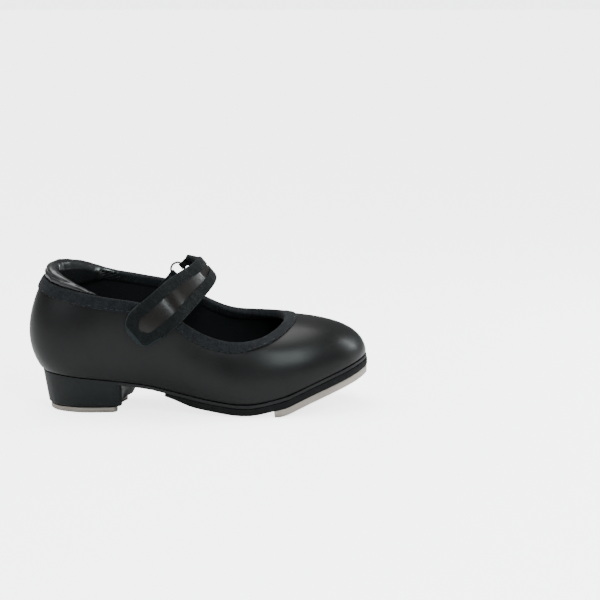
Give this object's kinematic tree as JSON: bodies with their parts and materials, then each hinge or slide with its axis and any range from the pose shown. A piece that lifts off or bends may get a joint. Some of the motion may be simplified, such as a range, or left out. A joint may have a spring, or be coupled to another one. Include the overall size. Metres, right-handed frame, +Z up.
{
  "type": "tap shoe",
  "caption": "Low child's tap shoe for the right foot with a padded heel, a strap fastened across the instep, a moulded heel, and metal taps under the toe and the heel.",
  "frame": {"origin": "middle of the shoe's bounding box in plan, on the floor under the taps", "axes": "+X from heel to toe, +Y towards the inner side of the foot, +Z up; the outer side with the strap's fastening faces -Y"},
  "size_m": [0.1908, 0.0678, 0.0844],
  "materials": {
    "upper_skin": "satin coated black",
    "collar_skin": "glossy coated black, padded",
    "lining": "matt black textile",
    "tape": "matt black ribbed tape",
    "loop_fabric": "fuzzy black loops",
    "hook_fabric": "stiff black hooks",
    "board": "fibre board",
    "filler": "cork and felt filler",
    "sole": "matt black, scuffed edge",
    "heel_plastic": "satin moulded black",
    "tap_metal": "satin cast aluminium with fine machining lines",
    "ring_metal": "nickel plated",
    "shank_steel": "blued spring steel",
    "fastener_steel": "zinc plated"
  },
  "bodies": {
    "shoe": {"upper": "upper_skin", "upper_lining": "lining", "heel_counter": "board", "toe_puff": "board", "topline_binding": "tape", "heel_collar": "collar_skin", "insole_board": "board", "shank": "shank_steel", "bottom_filler": "filler", "sock_liner": "lining", "runner_sole": "sole", "half_sole": "sole", "heel_block": "heel_plastic", "heel_tap": "tap_metal", "toe_tap": "tap_metal", "heel_tap_screw_1": "fastener_steel", "heel_tap_screw_2": "fastener_steel", "heel_tap_screw_3": "fastener_steel", "toe_tap_screw_1": "fastener_steel", "toe_tap_screw_2": "fastener_steel", "toe_tap_screw_3": "fastener_steel", "heel_nail_1": "fastener_steel", "heel_nail_2": "fastener_steel", "heel_nail_3": "fastener_steel", "heel_nail_4": "fastener_steel", "heel_seat_screw": "fastener_steel", "loop_pad": "loop_fabric", "ring_tab": "tape"},
    "ring": {"strap_ring": "ring_metal"},
    "strap": {"strap_face": "upper_skin", "strap_backing": "lining", "strap_binding": "tape", "strap_loop": "tape", "hook_pad": "hook_fabric"}
  },
  "joints": [
    {"name": "ring_swing", "type": "hinge", "parent": "shoe", "child": "ring", "pos_m": [-0.01479, 0.02398, 0.07099], "axis": [-0.7071, 0, 0.7071], "range_deg": [0, 40]},
    {"name": "strap_hinge", "type": "hinge", "parent": "ring", "child": "strap", "pos_m": [-0.00911, 0.02398, 0.07617], "axis": [-0.6392, 0, 0.769], "range_deg": [0, 110]}
  ]
}
